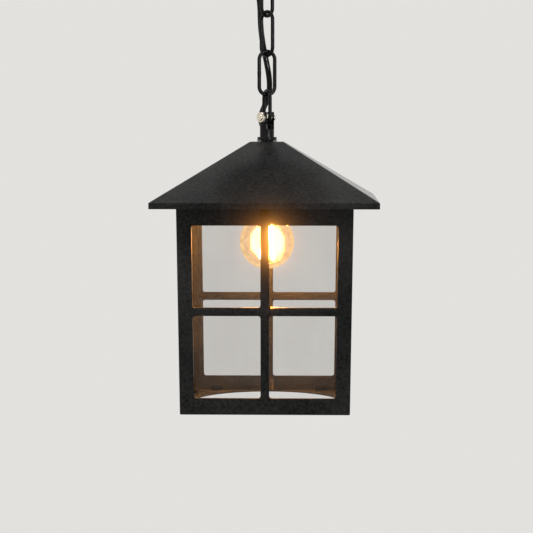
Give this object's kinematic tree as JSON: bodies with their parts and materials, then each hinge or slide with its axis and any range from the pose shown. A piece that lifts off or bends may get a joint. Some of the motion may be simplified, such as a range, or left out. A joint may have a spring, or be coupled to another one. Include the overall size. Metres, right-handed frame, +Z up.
{
  "type": "hanging lantern",
  "caption": "Square hanging lantern with cross-barred glass windows and a pyramid roof, hung by a chain and cable from a round ceiling rose.",
  "frame": {"origin": "middle of the bracket's top face, where the rose meets the ceiling", "axes": "+Z up into the ceiling, +X to the right and -Y towards the window called front"},
  "size_m": [0.181, 0.181, 0.397],
  "materials": {
    "black_casting": "matte fine-textured black powder coat over cast aluminium",
    "black_paint": "matte fine-textured powder coat",
    "black_chain": "satin black paint on steel wire",
    "nickel": "nickel plate",
    "zinc": "zinc-plated steel",
    "black_rubber": "matte",
    "cable_sheath": "glossy black sheath",
    "holder_plastic": "moulded",
    "ceramic": null,
    "brass": "stamped",
    "pane_glass": "clear float glass",
    "lamp_glass": "clear blown glass",
    "glow": "phosphor-coated light-emitting rod",
    "silicone": "translucent brown-grey silicone"
  },
  "bodies": {
    "ceiling_rose": {"ceiling_bracket": "zinc", "canopy": "black_paint", "canopy_screw_left": "black_paint", "canopy_screw_right": "black_paint", "canopy_loop": "black_paint", "loop_washer": "zinc", "loop_nut": "zinc", "cable_gland": "black_rubber", "cable_gland_nut": "black_rubber", "terminal_block": "holder_plastic", "cable_1": "cable_sheath"},
    "link_4": {"chain_link_4": "black_chain", "cable_2": "cable_sheath"},
    "link_3": {"chain_link_3": "black_chain", "cable_3": "cable_sheath"},
    "link_2": {"chain_link_2": "black_chain", "cable_4": "cable_sheath"},
    "link_1": {"chain_link_1": "black_chain"},
    "lantern": {"hanger_stem": "black_paint", "hanger_bolt": "nickel", "hanger_nut": "nickel", "stem_gasket": "black_rubber", "stem_washer": "zinc", "stem_locknut": "zinc", "roof": "black_casting", "body_casting": "black_casting", "lampholder_cap": "holder_plastic", "lampholder_shell": "holder_plastic", "lampholder_core": "ceramic", "lampholder_contact": "brass", "lamp_globe": "lamp_glass", "lamp_cap": "nickel", "lamp_contact": "brass", "lamp_mount": "lamp_glass", "roof_screw_1": "zinc", "lamp_filament_1": "glow", "roof_screw_2": "zinc", "lamp_filament_2": "glow", "roof_screw_3": "zinc", "lamp_filament_3": "glow", "roof_screw_4": "zinc", "lamp_filament_4": "glow", "cable_5": "cable_sheath", "glass_pane_front": "pane_glass", "pane_clip_front": "zinc", "glass_block_front_a": "silicone", "glass_block_front_b": "silicone", "glass_pane_right": "pane_glass", "pane_clip_right": "zinc", "glass_block_right_a": "silicone", "glass_block_right_b": "silicone", "glass_pane_back": "pane_glass", "pane_clip_back": "zinc", "glass_block_back_a": "silicone", "glass_block_back_b": "silicone", "glass_pane_left": "pane_glass", "pane_clip_left": "zinc", "glass_block_left_a": "silicone", "glass_block_left_b": "silicone"}
  },
  "joints": [
    {"name": "chain_swing_4", "type": "hinge", "parent": "ceiling_rose", "child": "link_4", "pos_m": [0, 0, -0.0449], "axis": [0.8192, -0.5736, 0], "range_deg": [-20, 20], "deforming": ["cable_1"]},
    {"name": "chain_swing_3", "type": "hinge", "parent": "link_4", "child": "link_3", "pos_m": [0, 0, -0.07715], "axis": [0.6428, 0.766, 0], "range_deg": [-20, 20], "deforming": ["cable_2"]},
    {"name": "chain_swing_2", "type": "hinge", "parent": "link_3", "child": "link_2", "pos_m": [0, 0, -0.1094], "axis": [0.7071, -0.7071, 0], "range_deg": [-20, 20], "deforming": ["cable_3"]},
    {"name": "chain_swing_1", "type": "hinge", "parent": "link_2", "child": "link_1", "pos_m": [0, 0, -0.14165], "axis": [0.9455, 0.3256, 0], "range_deg": [-20, 20], "deforming": ["cable_4"]},
    {"name": "lantern_swing", "type": "hinge", "parent": "link_1", "child": "lantern", "pos_m": [0, 0, -0.1601], "axis": [0.6428, 0.766, 0], "range_deg": [-25, 25], "deforming": ["cable_5"]}
  ]
}
